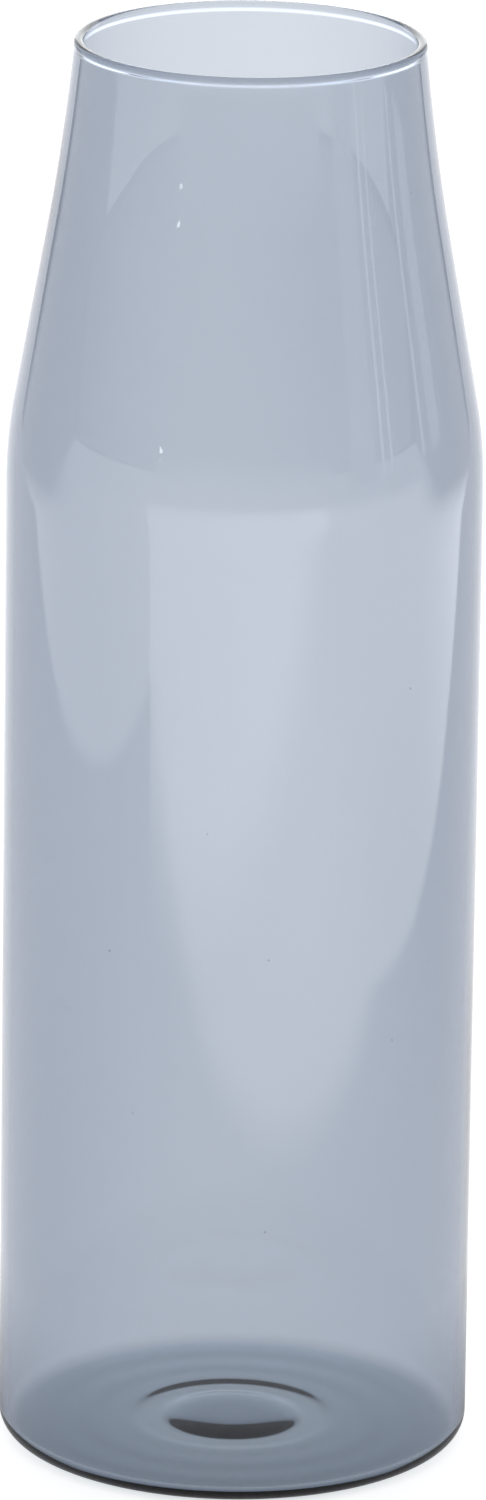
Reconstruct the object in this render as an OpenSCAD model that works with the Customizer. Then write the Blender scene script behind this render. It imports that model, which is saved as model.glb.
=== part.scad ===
// Tapered cylinder vase: one piece of blown smoke-grey glass.
// +Z is up along the vase's axis, and the origin is the centre of the foot.
// Millimetres throughout.

/* [Body] */
// Outside diameter of the straight body
body_d = 100; // [94:1:106]
// Overall height, from foot to lip
height = 305; // [280:1:330]
// Thickness of the wall
wall = 1.8; // [1.4:0.1:2]

/* [Shoulder and neck] */
// Outside diameter of the neck, just under the lip
mouth_d = 73.2; // [67:0.2:78]
// Steepest lean of the shoulder, in degrees from upright
taper = 10.2; // [9:0.1:12]
// Lean left in the neck where it meets the lip, in degrees from upright
lip_lean = 5.7; // [4:0.1:8]
// Radius of the bend from the body into the shoulder
shoulder_r = 100; // [50:1:120]
// Radius of the hollow curve that straightens the neck
neck_r = 510; // [300:10:600]

/* [Lip] */
// Thickness of the fire-polished bead round the mouth
lip_t = 2.2; // [2.1:0.1:3]

/* [Base] */
// Height of the inside floor above the foot
floor_t = 2.6; // [2.4:0.1:4]
// Outside radius where the wall turns under into the foot
heel_r = 5; // [4:0.5:8]
// Inside radius where the wall meets the floor
inside_r = 2.5; // [2:0.5:5]
// Diameter of the shallow hollow under the base
hollow_d = 70; // [50:1:76]
// Height of the shallow hollow at its middle
hollow_h = 0.5; // [0.3:0.1:0.8]
// Diameter of the raised button in the middle of the floor
button_d = 30; // [20:0.5:32]
// Height of the button above the ring round it
button_h = 1.4; // [1:0.1:2]
// Diameter of the sunk ring round the button, at its outer edge
ring_d = 44; // [40:1:48]
// Depth of the sunk ring
ring_depth = 0.25; // [0.2:0.05:0.6]

/* [Hidden] */
$fn = 180;

// Straight stretches that stand for one curve of the outline
curve_steps = 16;

body_r = body_d / 2;
mouth_r = mouth_d / 2;
lip_r = lip_t / 2;
// Where the bead's circle leaves the wall, in degrees below its middle
lip_grip = acos(wall / lip_t);

// Rise and inward run of the shoulder bend, the neck curve and the straight slope between them
shoulder_rise = shoulder_r * sin(taper);
shoulder_run = shoulder_r * (1 - cos(taper));
neck_rise = neck_r * (sin(taper) - sin(lip_lean));
neck_run = neck_r * (cos(lip_lean) - cos(taper));
slope_run = body_r - mouth_r - shoulder_run - neck_run;
slope_rise = slope_run / tan(taper);

// Height of the lip above the top of the neck's outer face
lip_rise = lip_r * (1 + sin(lip_grip) * cos(lip_lean)) - wall / 2 * sin(lip_lean);
neck_top = height - lip_rise;
shoulder_z = neck_top - neck_rise - slope_rise - shoulder_rise;

// Centre of the neck curve, which lies outside the vase
neck_centre = [mouth_r + neck_r * cos(lip_lean), neck_top + neck_r * sin(lip_lean)];
// Centre of the bead, on the middle of the wall
lip_centre = [
    mouth_r - wall / 2 * cos(lip_lean) - lip_r * sin(lip_grip) * sin(lip_lean),
    height - lip_r
];

// Width of the slope down into the sunk ring
ring_slope_w = 2.4;
ring_z = floor_t - ring_depth;

// Points along an arc about centre c, from angle a0 to angle a1
function arc(c, r, a0, a1) =
    [for (i = [0:curve_steps]) let (a = a0 + (a1 - a0) * i / curve_steps) c + r * [cos(a), sin(a)]];

// A shallow dome h high and d across, from its rim at height z up to the axis
function dome(d, h, z) =
    let (r = (d * d / 4 + h * h) / (2 * h))
    arc([0, z + h - r], r, acos(d / 2 / r), 90);

function reversed(points) = [for (i = [len(points) - 1:-1:0]) points[i]];

// Outside, from the rim of the hollow under the base up to the lip
outside = concat(
    reversed(dome(hollow_d, hollow_h, 0)),
    arc([body_r - heel_r, heel_r], heel_r, -90, 0),
    arc([body_r - shoulder_r, shoulder_z], shoulder_r, 0, taper),
    arc(neck_centre, neck_r, 180 + taper, 180 + lip_lean)
);

// The bead, over the lip from the outer face of the wall to the inner face
lip = arc(lip_centre, lip_r, lip_lean - lip_grip, 180 + lip_lean + lip_grip);

// Inside, from the lip down to the edge of the floor
inside = concat(
    arc(neck_centre, neck_r + wall, 180 + lip_lean, 180 + taper),
    arc([body_r - shoulder_r, shoulder_z], shoulder_r - wall, taper, 0),
    arc([body_r - wall - inside_r, floor_t + inside_r], inside_r, 0, -90)
);

// The floor, from the sunk ring in to the top of the button
floor_middle = concat(
    [[ring_d / 2, floor_t], [ring_d / 2 - ring_slope_w, ring_z]],
    dome(button_d, button_h, ring_z)
);

module glass_body() {
    color([0.56, 0.62, 0.68, 0.45])
        rotate_extrude()
            polygon(concat(outside, lip, inside, floor_middle));
}

glass_body();
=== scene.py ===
"""Looks for the smoke-grey glass vase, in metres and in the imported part's own frame."""

import math

import bpy
from mathutils import Matrix, Vector


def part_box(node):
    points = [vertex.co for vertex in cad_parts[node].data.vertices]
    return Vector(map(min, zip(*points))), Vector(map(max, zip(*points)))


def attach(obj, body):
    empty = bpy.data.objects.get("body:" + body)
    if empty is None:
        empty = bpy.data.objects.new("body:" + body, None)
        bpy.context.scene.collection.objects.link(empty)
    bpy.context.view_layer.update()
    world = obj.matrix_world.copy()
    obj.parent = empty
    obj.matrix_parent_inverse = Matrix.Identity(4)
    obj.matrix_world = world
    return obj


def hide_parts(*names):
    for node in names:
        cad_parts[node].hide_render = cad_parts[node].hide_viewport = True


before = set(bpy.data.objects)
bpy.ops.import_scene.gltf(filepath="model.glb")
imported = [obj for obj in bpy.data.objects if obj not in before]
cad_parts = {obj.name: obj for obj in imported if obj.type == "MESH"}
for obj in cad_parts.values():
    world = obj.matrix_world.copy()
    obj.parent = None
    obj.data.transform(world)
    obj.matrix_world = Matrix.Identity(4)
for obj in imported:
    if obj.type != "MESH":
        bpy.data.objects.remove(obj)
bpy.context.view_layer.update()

MM = 0.001
NODE = "glass_body"
BODY = "root"

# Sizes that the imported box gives.
BOX_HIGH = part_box(NODE)[1]
BODY_R = BOX_HIGH.x
HEIGHT = BOX_HIGH.z

# Wall, lip, shoulder and neck, as the part is designed. Over LIP_BLEND the wall swells into the bead.
WALL = 1.8 * MM
LIP_R = 1.1 * MM
LIP_BLEND = 1.3 * MM
NECK_TOP_R = 36.6 * MM
TAPER = math.radians(10.2)
LIP_LEAN = math.radians(5.7)
SHOULDER_R = 100 * MM
NECK_R = 510 * MM

# Base, as the part is designed, but with a flatter button and a softer edge to the hollow under it.
FLOOR_T = 2.6 * MM
HEEL_R = 5 * MM
INSIDE_R = 2.5 * MM
HOLLOW_R = 35 * MM
HOLLOW_H = 0.5 * MM
BUTTON_R = 15 * MM
BUTTON_H = 1.4 * MM
BUTTON_POWER = 3.3
RING_R = 22 * MM
RING_SLOPE = 2.4 * MM
RING_DEPTH = 0.25 * MM

# How far the floor's edges are softened, and the faint rings that spinning leaves in it.
SOFTEN_STEP_MM = 0.2
SOFTEN_STEPS = 4
SPIN_RING_H = 0.035 * MM
SPIN_RING_PITCH = 1.5 * MM
SPIN_RING_START = 6 * MM
SPIN_RING_END = 4 * MM

# Waves by which a blown wall strays from round.
# Each is (share, lobes round the wall, how far the seed turns it, pitch in height).
STRAY_WAVES = [(0.5, 2, 1, 90 * MM), (0.3, 3, -2, 47 * MM), (0.2, 5, 3, -31 * MM)]
# How far each face of the wall strays, with the seed of its waves.
OUTSIDE_STRAY = (0.05 * MM, 0.7)
INSIDE_STRAY = (0.09 * MM, 2.1)
STRAY_START = HEEL_R * 2
STRAY_END = HEIGHT - 6 * MM
STRAY_FADE = 30 * MM

# Mesh density.
TURNS = 224
LONG_STEP = 4 * MM
FLAT_STEP = 0.7 * MM
BASE_STEP = 1.5 * MM
SHOULDER_STEPS = 14
NECK_STEPS = 18
HEEL_STEPS = 18
CORNER_STEPS = 14
SWELL_STEPS = 12
BEAD_STEPS = 28

# The glass. Absorption gives the tint through the thickness, and noise scales are in features per metre.
GLASS_IOR = 1.47
GLASS_TINT = (0.250, 0.330, 0.450, 1)
GLASS_DENSITY = 360
WAVE_SCALE = 45
WAVE_DETAIL = 1
WAVE_HEIGHT = 0.03 * MM
SMUDGE_SCALE = 14
SMUDGE_DETAIL = 3
SMUDGE_SPAN = (0.52, 0.72)
SMUDGE_ROUGHNESS = 0.035
SPECK_SPACING = 7 * MM
SPECK_EDGE = (0.030, 0.045)
SPECK_CHOICE = (0.90, 0.92)
SPECK_COLOUR = (0.45, 0.43, 0.40, 1)
SPECK_ROUGHNESS = 0.3
WHITE = (1, 1, 1, 1)

# The studio floor lies a hair under the foot, so that the two never share a plane.
FLOOR_Z = -0.1 * MM
FLOOR_HALF = 20.0
FLOOR_GLOW = 0.83
FLOOR_PAPER = 0.55
# Under the foot the glow runs from front to back between these shares of itself. This is a painted shadow,
# darker at the front and lighter at the back, with a painted tint as of light come down through the glass.
UNDER_FRONT = 0.72
UNDER_BACK = 1.28
UNDER_FOOT_PAINTED_TINT = (0.94, 1.0, 1.01, 1)
# Towards the front right the glow falls to a share of itself.
# An edge is (heading, near, far), as half_plane says.
DIM_EDGE = (45, 0.1, 0.45)
DIM_SHARE = 0.75

# The level card that only the glass reflects. It lies between the foot and the floor.
# A START, EDGE or SPAN is where a change in it begins and where it is complete, in metres.
CARD_Z = FLOOR_Z / 2
CARD_HALF = 12.0
CARD_COLOUR = (0.95, 0.96, 1.0)
LEFT_GLOW = 2.5
MIDDLE_GLOW = 3.0
LEFT_TO_MIDDLE = (-0.5, 0.3)
RIGHT_GLOW = 3.5
RIGHT_START = (0.45, 0.7)
BACK_START = (0.0, 0.3)
FAR_GLOW = 1.15
FAR_START = (0.75, 1.1)
DISTANT_GLOW = 2.3
DISTANT_START = (1.3, 1.8)
TABLE_GLOW = 1.27
TABLE_EDGES = [(-73.7, 0.56, 0.58), (22.7, 0.265, 0.315), (66.4, 0.385, 0.405)]
SHEET_GLOW = 1.5
SHEET_EDGES = [(-139.5, -0.075, -0.065), (160.8, -0.54, -0.40), (132, -0.09, -0.03)]
# The dark corners at the back lie between two slants, each so much sideways for each metre back.
CORNER_GLOW = 0.3
CORNER_INNER_SLANT = 0.53
CORNER_INNER_EDGE = (0.0, 0.08)
CORNER_OUTER_SLANT = 0.84
CORNER_OUTER_EDGE = (-0.1, 0.1)
# Round the foot the reflected floor is darker, as a share of itself: a painted contact shadow.
CONTACT_GLOW = 0.3
CONTACT_SPAN = (0.052, 0.13)

# Upright cards that only the glass reflects. Angles are in degrees, and elevations are from EYE_LEVEL.
# The front wall's glow runs from its foot to its top over FRONT_SPAN, which is in metres.
EYE_LEVEL = 0.24
UPRIGHT_DISTANCE = 3.0
UPRIGHT_COLOUR = (0.95, 0.97, 1.0)
UPRIGHT_FOOT = -4.5
FRONT_AZIMUTH = 0
FRONT_WIDTH = 87
FRONT_TOP = 25
FRONT_SPAN = (0.0, 0.5)
FRONT_FOOT_GLOW = 2.3
FRONT_TOP_GLOW = 1.12
# Softboxes on the right: (azimuth, width, glow).
STRIPE_TOP = 10
STRIPES = [(59, 13, 1.8), (70, 1.6, 3.2), (75, 1.2, 3.2), (96, 1.8, 2.6), (106, 8, 1.9)]
# Tiny lamps on the left: (azimuth, elevation).
LAMP_WIDTH = 1.6
LAMP_RISE = 0.2
LAMP_GLOW = 10
LAMPS = [(-41, 3.2), (-41, 1.8)]

# The card close behind the lip. At its foot it is as bright as the sky, so that its edge is lost.
RIM_HALF = 0.06
RIM_BACK = BODY_R + 40 * MM
RIM_LOW = HEIGHT - 11 * MM
RIM_HIGH = HEIGHT + 45 * MM
RIM_COLOUR = (0.96, 0.98, 1.0)
RIM_SPAN = (RIM_LOW, HEIGHT + 3 * MM)
RIM_GLOW = 2.3

# The white surround, from the horizon up, and the soft light overhead.
SKY_LOW = 1.2
SKY_HIGH = 0.15
SKY_SPAN = (0.1, 0.7)
SKY_COLOUR = (0.93, 0.96, 1.0, 1)
OVERHEAD_PLACE = (0, 1.2, 2.4)
OVERHEAD_AIM = (0, 0, 0)
OVERHEAD_SIZE = (3.0, 3.0)
OVERHEAD_RADIANCE = 0.9
OVERHEAD_COLOUR = (0.92, 0.97, 1.0)

# Camera: a long lens in front of the vase, with its tilts in degrees.
LENS = 261.4
SENSOR_WIDTH = 36
CAMERA_PLACE = (0, -2.2, 0.8118)
CAMERA_TURN = -0.011
CAMERA_DOWN = 16.713
CAMERA_ROLL = 0.796


def smoothstep(t):
    """0 below 0, 1 above 1, and an even S between them."""
    t = min(1.0, max(0.0, t))
    return t * t * (3 - 2 * t)


def arc(centre, radius, start, end, steps):
    """Points (r, z) along an arc, both ends included, angles in radians."""
    angles = [start + (end - start) * i / steps for i in range(steps + 1)]
    return [(centre[0] + radius * math.cos(a), centre[1] + radius * math.sin(a)) for a in angles]


def line(start, end, step):
    """Points between two ends, neither end included, no further apart than step."""
    count = max(1, math.ceil(math.dist(start, end) / step))
    share = [i / count for i in range(1, count)]
    return [(start[0] + (end[0] - start[0]) * t, start[1] + (end[1] - start[1]) * t) for t in share]


class Wall:
    """Heights and centres of the curves that the wall's two faces follow."""

    def __init__(self):
        lip_centre_z = HEIGHT - LIP_R
        neck_top_z = lip_centre_z - LIP_BLEND * math.cos(LIP_LEAN)
        self.neck_centre = (
            NECK_TOP_R + NECK_R * math.cos(LIP_LEAN),
            neck_top_z + NECK_R * math.sin(LIP_LEAN),
        )
        neck_foot = (
            self.neck_centre[0] - NECK_R * math.cos(TAPER),
            self.neck_centre[1] - NECK_R * math.sin(TAPER),
        )
        slope_run = BODY_R - SHOULDER_R * (1 - math.cos(TAPER)) - neck_foot[0]
        slope_rise = slope_run / math.tan(TAPER)
        shoulder_z = neck_foot[1] - slope_rise - SHOULDER_R * math.sin(TAPER)
        self.shoulder_centre = (BODY_R - SHOULDER_R, shoulder_z)

    def side(self, depth):
        """The wall from the heel's top to under the lip, at a depth in from its outer face."""
        shoulder = arc(self.shoulder_centre, SHOULDER_R - depth, 0, TAPER, SHOULDER_STEPS)
        neck = arc(self.neck_centre, NECK_R + depth, math.pi + TAPER, math.pi + LIP_LEAN, NECK_STEPS)
        foot = (BODY_R - depth, HEEL_R if depth == 0 else FLOOR_T + INSIDE_R)
        straight = line(foot, shoulder[0], LONG_STEP)
        slope = line(shoulder[-1], neck[0], LONG_STEP)
        return straight + shoulder + slope + neck

    def lip(self):
        """Over the lip: the wall swells into the bead, goes round it, and thins again."""
        along = (-math.sin(LIP_LEAN), math.cos(LIP_LEAN))
        across = (math.cos(LIP_LEAN), math.sin(LIP_LEAN))
        half = WALL / 2
        start = arc(self.neck_centre, NECK_R + half, math.pi + LIP_LEAN, math.pi + LIP_LEAN, 1)[0]

        def point(up, out):
            return (
                start[0] + along[0] * up + across[0] * out,
                start[1] + along[1] * up + across[1] * out,
            )

        swell = [i / SWELL_STEPS for i in range(1, SWELL_STEPS)]
        outer = [point(t * LIP_BLEND, half + (LIP_R - half) * smoothstep(t)) for t in swell]
        inner = [point(t * LIP_BLEND, -half - (LIP_R - half) * smoothstep(t)) for t in swell]
        turn = [math.pi * i / BEAD_STEPS for i in range(BEAD_STEPS + 1)]
        over = [point(LIP_BLEND + LIP_R * math.sin(a), LIP_R * math.cos(a)) for a in turn]
        return outer + over + inner[::-1]


def floor_step(r):
    """Height of the inside floor at radius r, with hard edges."""
    ring = FLOOR_T - RING_DEPTH * smoothstep((RING_R - r) / RING_SLOPE)
    return ring + BUTTON_H * max(0.0, 1 - (r / BUTTON_R) ** BUTTON_POWER)


def floor_height(r):
    """The floor with its edges softened, and the faint rings that spinning leaves in it."""
    window = [k * SOFTEN_STEP_MM * MM for k in range(-SOFTEN_STEPS, SOFTEN_STEPS + 1)]
    soft = sum(floor_step(abs(r + w)) for w in window) / len(window)
    rings = SPIN_RING_H * math.sin(r / SPIN_RING_PITCH) * smoothstep((r - RING_R) / SPIN_RING_START)
    return soft + rings * smoothstep((BODY_R - WALL - INSIDE_R - r) / SPIN_RING_END)


def underside(r):
    """Height of the hollow under the base at radius r."""
    return HOLLOW_H * max(0.0, 1 - (r / HOLLOW_R) ** 2) ** 2


def radii(outer, step):
    """Evenly spaced radii from just off the axis out to a limit, which is included."""
    count = math.ceil(outer / step)
    return [outer * i / count for i in range(1, count + 1)]


def outline():
    """Three runs of points: out over the base and up the outside, over the lip, and down to the axis."""
    wall = Wall()
    base = [(r, underside(r)) for r in radii(BODY_R - HEEL_R, BASE_STEP)]
    heel = arc((BODY_R - HEEL_R, HEEL_R), HEEL_R, -math.pi / 2, 0, HEEL_STEPS)[1:]
    outside = base + heel + wall.side(0)
    floor_edge = BODY_R - WALL - INSIDE_R
    corner = arc((floor_edge, FLOOR_T + INSIDE_R), INSIDE_R, 0, -math.pi / 2, CORNER_STEPS)[:-1]
    floor = [(r, floor_height(r)) for r in reversed(radii(floor_edge, FLAT_STEP))]
    inside = wall.side(WALL)[::-1] + corner + floor
    return outside, wall.lip(), inside


def wander(angle, z, seed):
    """How far a blown surface strays from round at an angle and height, from -1 to 1."""
    waves = [
        share * math.sin(lobes * angle + turn * seed + z / pitch)
        for share, lobes, turn, pitch in STRAY_WAVES
    ]
    return sum(waves)


def stray(z, amount):
    """The most that a wall strays at height z: nothing at the base or at the lip."""
    low = smoothstep((z - STRAY_START) / STRAY_FADE)
    high = smoothstep((STRAY_END - z) / STRAY_FADE)
    return amount * low * high


def revolved(name, outside, lip, inside):
    """One closed mesh, turned from the outline, with poles on the axis."""
    loop = outside + lip + inside
    split = len(outside) + len(lip) // 2
    vertices = [(0, 0, underside(0))]
    for index, (r, z) in enumerate(loop):
        amount, seed = INSIDE_STRAY if index >= split else OUTSIDE_STRAY
        reach = stray(z, amount)
        for turn in range(TURNS):
            angle = math.tau * turn / TURNS
            radius = r + reach * wander(angle, z, seed)
            vertices.append((radius * math.cos(angle), radius * math.sin(angle), z))
    top = len(vertices)
    vertices.append((0, 0, floor_height(0)))
    faces = [(0, 1 + (t + 1) % TURNS, 1 + t) for t in range(TURNS)]
    for ring in range(len(loop) - 1):
        low, high = 1 + ring * TURNS, 1 + (ring + 1) * TURNS
        for t in range(TURNS):
            u = (t + 1) % TURNS
            faces.append((low + t, low + u, high + u, high + t))
    last = top - TURNS
    faces += [(last + t, last + (t + 1) % TURNS, top) for t in range(TURNS)]
    mesh = bpy.data.meshes.new(name)
    mesh.from_pydata(vertices, [], faces)
    mesh.polygons.foreach_set("use_smooth", [True] * len(mesh.polygons))
    mesh.validate()
    piece = bpy.data.objects.new(name, mesh)
    bpy.context.scene.collection.objects.link(piece)
    return piece


def new_material(name):
    """A material with its nodes, and their links."""
    material = bpy.data.materials.new(name)
    material.use_nodes = True
    return material, material.node_tree.nodes, material.node_tree.links


def object_place(nodes, links):
    """The place on an object, whole, and as its X, Y and Z."""
    place = nodes.new("ShaderNodeTexCoord").outputs["Object"]
    split = nodes.new("ShaderNodeSeparateXYZ")
    links.new(place, split.inputs["Vector"])
    return place, split.outputs


def distance(nodes, links, place):
    """How far a place is from the object's origin."""
    reach = nodes.new("ShaderNodeVectorMath")
    reach.operation = "LENGTH"
    links.new(place, reach.inputs[0])
    return reach.outputs["Value"]


def noise(nodes, links, place, scale, detail):
    """Soft noise over the object, at a scale in features per metre."""
    texture = nodes.new("ShaderNodeTexNoise")
    texture.inputs["Scale"].default_value = scale
    texture.inputs["Detail"].default_value = detail
    links.new(place, texture.inputs["Vector"])
    return texture.outputs["Fac"]


def ramp(nodes, links, value, span, low, high):
    """A value that runs from low to high while another runs over a span."""
    remap = nodes.new("ShaderNodeMapRange")
    remap.inputs["From Min"].default_value = span[0]
    remap.inputs["From Max"].default_value = span[1]
    remap.inputs["To Min"].default_value = low
    remap.inputs["To Max"].default_value = high
    links.new(value, remap.inputs["Value"])
    return remap.outputs["Result"]


def feed(links, socket, value):
    """Sets a socket to a plain number, or links another socket to it."""
    if isinstance(value, (int, float)):
        socket.default_value = value
    else:
        links.new(value, socket)


def math_node(nodes, links, operation, *values):
    """The result of one sum on values, any of which may be a plain number."""
    node = nodes.new("ShaderNodeMath")
    node.operation = operation
    for socket, value in zip(node.inputs, values):
        feed(links, socket, value)
    return node.outputs["Value"]


def blend(nodes, links, share, off, on):
    """off where share is 0, on where it is 1."""
    mix = nodes.new("ShaderNodeMix")
    mix.data_type = "FLOAT"
    links.new(share, mix.inputs["Factor"])
    feed(links, mix.inputs["A"], off)
    feed(links, mix.inputs["B"], on)
    return mix.outputs["Result"]


def blend_colour(nodes, links, share, off, on):
    """One colour where share is 0, another where it is 1."""
    mix = nodes.new("ShaderNodeMix")
    mix.data_type = "RGBA"
    mix.inputs["A"].default_value = off
    mix.inputs["B"].default_value = on
    links.new(share, mix.inputs["Factor"])
    return mix.outputs["Result"]


def half_plane(nodes, links, place, heading, near, far):
    """1 where the floor lies less than near along a heading, 0 past far; 0 degrees is towards the camera."""
    along = nodes.new("ShaderNodeVectorMath")
    along.operation = "DOT_PRODUCT"
    links.new(place, along.inputs[0])
    angle = math.radians(heading)
    along.inputs[1].default_value = (math.sin(angle), -math.cos(angle), 0)
    return ramp(nodes, links, along.outputs["Value"], (near, far), 1, 0)


def region(nodes, links, place, edges):
    """1 inside all the edges, 0 outside any of them."""
    mask = half_plane(nodes, links, place, *edges[0])
    for edge in edges[1:]:
        mask = math_node(nodes, links, "MULTIPLY", mask, half_plane(nodes, links, place, *edge))
    return mask


def dust(nodes, links, place):
    """1 in a few tiny specks, 0 elsewhere."""
    cells = nodes.new("ShaderNodeTexVoronoi")
    cells.inputs["Scale"].default_value = 1 / SPECK_SPACING
    links.new(place, cells.inputs["Vector"])
    spot = ramp(nodes, links, cells.outputs["Distance"], SPECK_EDGE, 1, 0)
    tone = nodes.new("ShaderNodeSeparateColor")
    links.new(cells.outputs["Color"], tone.inputs["Color"])
    chosen = ramp(nodes, links, tone.outputs["Red"], SPECK_CHOICE, 0, 1)
    return math_node(nodes, links, "MULTIPLY", spot, chosen)


def smoke_glass():
    """Smoke-grey glass, tinted by its thickness, with waves, smudges and a few specks on its surface."""
    material, nodes, links = new_material("smoke_glass")
    shader = nodes["Principled BSDF"]
    shader.inputs["IOR"].default_value = GLASS_IOR
    shader.inputs["Transmission Weight"].default_value = 1
    place = nodes.new("ShaderNodeTexCoord").outputs["Object"]

    specks = dust(nodes, links, place)
    links.new(blend_colour(nodes, links, specks, WHITE, SPECK_COLOUR), shader.inputs["Base Color"])

    patches = noise(nodes, links, place, SMUDGE_SCALE, SMUDGE_DETAIL)
    smudge = ramp(nodes, links, patches, SMUDGE_SPAN, 0.0, SMUDGE_ROUGHNESS)
    finish = math_node(nodes, links, "MULTIPLY_ADD", specks, SPECK_ROUGHNESS, smudge)
    links.new(finish, shader.inputs["Roughness"])

    waves = nodes.new("ShaderNodeBump")
    waves.inputs["Strength"].default_value = 1
    waves.inputs["Distance"].default_value = WAVE_HEIGHT
    links.new(noise(nodes, links, place, WAVE_SCALE, WAVE_DETAIL), waves.inputs["Height"])
    links.new(waves.outputs["Normal"], shader.inputs["Normal"])

    tint = nodes.new("ShaderNodeVolumeAbsorption")
    tint.inputs["Color"].default_value = GLASS_TINT
    tint.inputs["Density"].default_value = GLASS_DENSITY
    links.new(tint.outputs["Volume"], nodes["Material Output"].inputs["Volume"])
    return material


def light_table(name):
    """A white acrylic table lit from below, which takes a soft shadow, and under the foot has a painted
    shadow and a painted tint.
    """
    material, nodes, links = new_material(name)
    shader = nodes["Principled BSDF"]
    shader.inputs["Base Color"].default_value = (FLOOR_PAPER, FLOOR_PAPER, FLOOR_PAPER, 1)
    shader.inputs["Roughness"].default_value = 1
    shader.inputs["Specular IOR Level"].default_value = 0

    place, axes = object_place(nodes, links)
    under = ramp(nodes, links, distance(nodes, links, place), (BODY_R - HEEL_R, BODY_R), 1, 0)
    # Painted shadow under the foot: the glow is dimmer at the front and brighter at the back.
    across_foot = (-BODY_R, BODY_R)
    foot_painted_shadow = ramp(nodes, links, axes["Y"], across_foot, FLOOR_GLOW * UNDER_FRONT, FLOOR_GLOW * UNDER_BACK)
    near = half_plane(nodes, links, place, *DIM_EDGE)
    lit = blend(nodes, links, near, FLOOR_GLOW * DIM_SHARE, FLOOR_GLOW)
    links.new(blend(nodes, links, under, lit, foot_painted_shadow), shader.inputs["Emission Strength"])
    # Painted tint under the foot, as of light come down through the glass.
    links.new(blend_colour(nodes, links, under, WHITE, UNDER_FOOT_PAINTED_TINT), shader.inputs["Emission Color"])
    return material


def glow(name, colour, strength):
    """A bare glow of one colour; the strength is a number, or is made by a function of nodes and links."""
    material, nodes, links = new_material(name)
    emission = nodes.new("ShaderNodeEmission")
    emission.inputs["Color"].default_value = (*colour, 1)
    if callable(strength):
        strength = strength(nodes, links)
    feed(links, emission.inputs["Strength"], strength)
    links.new(emission.outputs["Emission"], nodes["Material Output"].inputs["Surface"])
    return material


def studio_panel(name, corners, material):
    """A flat four-cornered panel of studio material, which isn't part of the object."""
    mesh = bpy.data.meshes.new(name)
    mesh.from_pydata(corners, [], [(0, 1, 2, 3)])
    mesh.materials.append(material)
    panel = bpy.data.objects.new(name, mesh)
    bpy.context.scene.collection.objects.link(panel)
    return panel


def level_square(half, z):
    """Corners of a level square round the axis."""
    return [(-half, -half, z), (half, -half, z), (half, half, z), (-half, half, z)]


def only_reflected(card):
    """Keeps a card out of everything but the reflections in the glass."""
    card.visible_camera = False
    card.visible_diffuse = False
    card.visible_transmission = False
    card.visible_volume_scatter = False
    card.visible_shadow = False


def studio_floor():
    """A plain pale floor, wide enough for every view."""
    studio_panel("studio_floor", level_square(FLOOR_HALF, FLOOR_Z), light_table("floor_acrylic"))


def slanted(nodes, links, axes, slant):
    """How far sideways a place is from a slant that runs back from the vase on both sides."""
    sideways = math_node(nodes, links, "ABSOLUTE", axes["X"])
    edge = math_node(nodes, links, "MULTIPLY", axes["Y"], slant)
    return math_node(nodes, links, "SUBTRACT", sideways, edge)


def surround_brightness(nodes, links, axes, reach, distant):
    """How bright the floor round the table looks: most on the right, and least in two corners behind."""
    surround = ramp(nodes, links, axes["X"], LEFT_TO_MIDDLE, LEFT_GLOW, MIDDLE_GLOW)
    right = ramp(nodes, links, axes["X"], RIGHT_START, 0, 1)
    surround = blend(nodes, links, right, surround, RIGHT_GLOW)

    behind = ramp(nodes, links, axes["Y"], BACK_START, 0, 1)
    far_side = math_node(nodes, links, "MULTIPLY", ramp(nodes, links, reach, FAR_START, 0, 1), behind)
    surround = blend(nodes, links, far_side, surround, FAR_GLOW)

    inner = slanted(nodes, links, axes, CORNER_INNER_SLANT)
    outer = slanted(nodes, links, axes, CORNER_OUTER_SLANT)
    off_centre = ramp(nodes, links, inner, CORNER_INNER_EDGE, 0, 1)
    not_wide = ramp(nodes, links, outer, CORNER_OUTER_EDGE, 1, 0)
    corner = math_node(nodes, links, "MULTIPLY", off_centre, not_wide)
    corner = math_node(nodes, links, "MULTIPLY", corner, far_side)
    surround = blend(nodes, links, corner, surround, CORNER_GLOW)

    in_front = ramp(nodes, links, axes["Y"], BACK_START, 1, 0)
    distant_front = math_node(nodes, links, "MULTIPLY", distant, in_front)
    return blend(nodes, links, distant_front, surround, DISTANT_GLOW)


def floor_brightness(nodes, links):
    """How bright the floor looks in the glass: a table, what lies round it, a bright sheet on top, and a
    painted contact shadow round the foot.
    """
    place, axes = object_place(nodes, links)
    reach = distance(nodes, links, place)
    distant = ramp(nodes, links, reach, DISTANT_START, 0, 1)
    surround = surround_brightness(nodes, links, axes, reach, distant)
    floor = blend(nodes, links, region(nodes, links, place, TABLE_EDGES), surround, TABLE_GLOW)

    sheet = blend(nodes, links, distant, region(nodes, links, place, SHEET_EDGES), 0)
    sheet = math_node(nodes, links, "MULTIPLY", sheet, SHEET_GLOW)
    floor = math_node(nodes, links, "ADD", floor, sheet)
    # A painted contact shadow: round the foot the reflected floor darkens.
    painted_contact_shadow = ramp(nodes, links, reach, CONTACT_SPAN, CONTACT_GLOW, 1)
    return math_node(nodes, links, "MULTIPLY", floor, painted_contact_shadow)


def wall_brightness(nodes, links):
    """How bright the front wall looks in the glass: brighter near the floor."""
    axes = object_place(nodes, links)[1]
    return ramp(nodes, links, axes["Z"], FRONT_SPAN, FRONT_FOOT_GLOW, FRONT_TOP_GLOW)


def rim_brightness(nodes, links):
    """How bright the card behind the lip is: as bright as the sky at its foot, and brighter above."""
    axes = object_place(nodes, links)[1]
    return ramp(nodes, links, axes["Z"], RIM_SPAN, SKY_LOW, RIM_GLOW)


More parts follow.
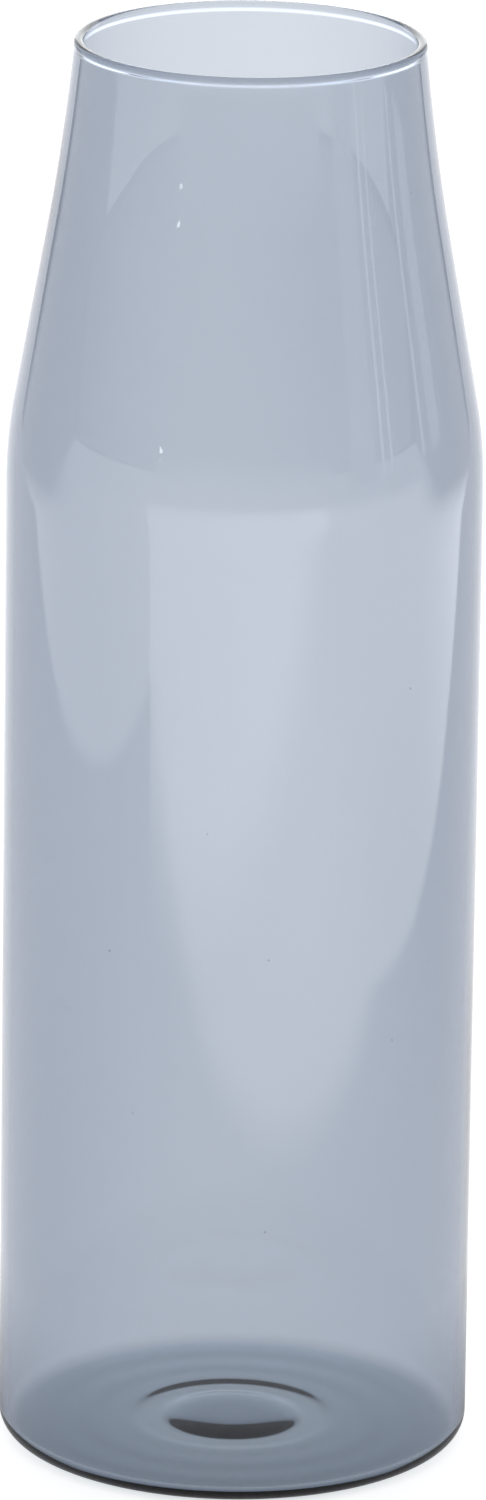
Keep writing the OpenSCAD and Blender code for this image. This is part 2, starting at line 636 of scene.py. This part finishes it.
def upright_card(name, azimuth, width, low, high, strength):
    """A glowing card standing round the vase; 0 degrees is towards the camera, and +90 is to its right."""
    angle = math.radians(azimuth)
    spread = math.tan(math.radians(width / 2))
    out = Vector((math.sin(angle), -math.cos(angle), 0)) * UPRIGHT_DISTANCE
    side = Vector((math.cos(angle), math.sin(angle), 0)) * UPRIGHT_DISTANCE * spread
    bottom, top = [
        Vector((0, 0, EYE_LEVEL + UPRIGHT_DISTANCE * math.tan(math.radians(elevation))))
        for elevation in (low, high)
    ]
    corners = [out - side + bottom, out + side + bottom, out + side + top, out - side + top]
    only_reflected(studio_panel(name, corners, glow(name + "_glow", UPRIGHT_COLOUR, strength)))


def reflection_cards():
    """What only the glass's own surface reflects, as the studio round the real vase would show in it."""
    level = glow("floor_glow", CARD_COLOUR, floor_brightness)
    only_reflected(studio_panel("floor_glow", level_square(CARD_HALF, CARD_Z), level))
    upright_card("front_wall", FRONT_AZIMUTH, FRONT_WIDTH, UPRIGHT_FOOT, FRONT_TOP, wall_brightness)
    for index, (azimuth, width, strength) in enumerate(STRIPES):
        upright_card("stripe_%d" % index, azimuth, width, UPRIGHT_FOOT, STRIPE_TOP, strength)
    for index, (azimuth, elevation) in enumerate(LAMPS):
        top = elevation + LAMP_RISE
        upright_card("lamp_%d" % index, azimuth, LAMP_WIDTH, elevation, top, LAMP_GLOW)


def sky():
    """A white surround, brightest at the horizon and dim overhead."""
    world = bpy.data.worlds.new("studio")
    bpy.context.scene.world = world
    world.use_nodes = True
    nodes, links = world.node_tree.nodes, world.node_tree.links
    split = nodes.new("ShaderNodeSeparateXYZ")
    links.new(nodes.new("ShaderNodeTexCoord").outputs["Generated"], split.inputs["Vector"])
    background = nodes["Background"]
    background.inputs["Color"].default_value = SKY_COLOUR
    fade = ramp(nodes, links, split.outputs["Z"], SKY_SPAN, SKY_LOW, SKY_HIGH)
    links.new(fade, background.inputs["Strength"])


def overhead_light():
    """A broad soft light from above and behind, aimed at the foot, that doesn't show in the glass."""
    data = bpy.data.lights.new("overhead", "AREA")
    data.shape = "RECTANGLE"
    data.size, data.size_y = OVERHEAD_SIZE
    data.energy = OVERHEAD_RADIANCE * math.pi * OVERHEAD_SIZE[0] * OVERHEAD_SIZE[1]
    data.color = OVERHEAD_COLOUR
    light = bpy.data.objects.new("overhead", data)
    bpy.context.scene.collection.objects.link(light)
    light.location = OVERHEAD_PLACE
    light.rotation_mode = "QUATERNION"
    direction = Vector(OVERHEAD_AIM) - Vector(OVERHEAD_PLACE)
    light.rotation_quaternion = direction.to_track_quat("-Z", "Y")
    light.visible_camera = False
    light.visible_glossy = False
    light.visible_transmission = False


def rim_card():
    """A pale card close behind the lip, which the bead picks up as a white line."""
    corners = [
        (-RIM_HALF, RIM_BACK, RIM_LOW),
        (RIM_HALF, RIM_BACK, RIM_LOW),
        (RIM_HALF, RIM_BACK, RIM_HIGH),
        (-RIM_HALF, RIM_BACK, RIM_HIGH),
    ]
    card = studio_panel("rim_card", corners, glow("rim_card_glow", RIM_COLOUR, rim_brightness))
    card.visible_camera = False
    card.visible_diffuse = False
    card.visible_shadow = False


def studio_light():
    """An even white studio, with a soft light overhead and a card behind the lip."""
    sky()
    overhead_light()
    rim_card()


def camera():
    """A long lens, looking a little down on the vase."""
    data = bpy.data.cameras.new("camera")
    data.lens = LENS
    data.sensor_width = SENSOR_WIDTH
    eye = bpy.data.objects.new("camera", data)
    bpy.context.scene.collection.objects.link(eye)
    turn = Matrix.Rotation(math.radians(CAMERA_TURN), 4, "Z")
    pitch = Matrix.Rotation(math.radians(90 - CAMERA_DOWN), 4, "X")
    roll = Matrix.Rotation(math.radians(CAMERA_ROLL), 4, "Z")
    eye.matrix_world = Matrix.Translation(CAMERA_PLACE) @ turn @ pitch @ roll
    bpy.context.scene.camera = eye


camera()
studio_floor()
reflection_cards()
studio_light()
vase = revolved("vase_glass", *outline())
vase.data.materials.append(smoke_glass())
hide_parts(NODE)
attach(vase, BODY)

bpy.context.scene.view_settings.view_transform = "Standard"
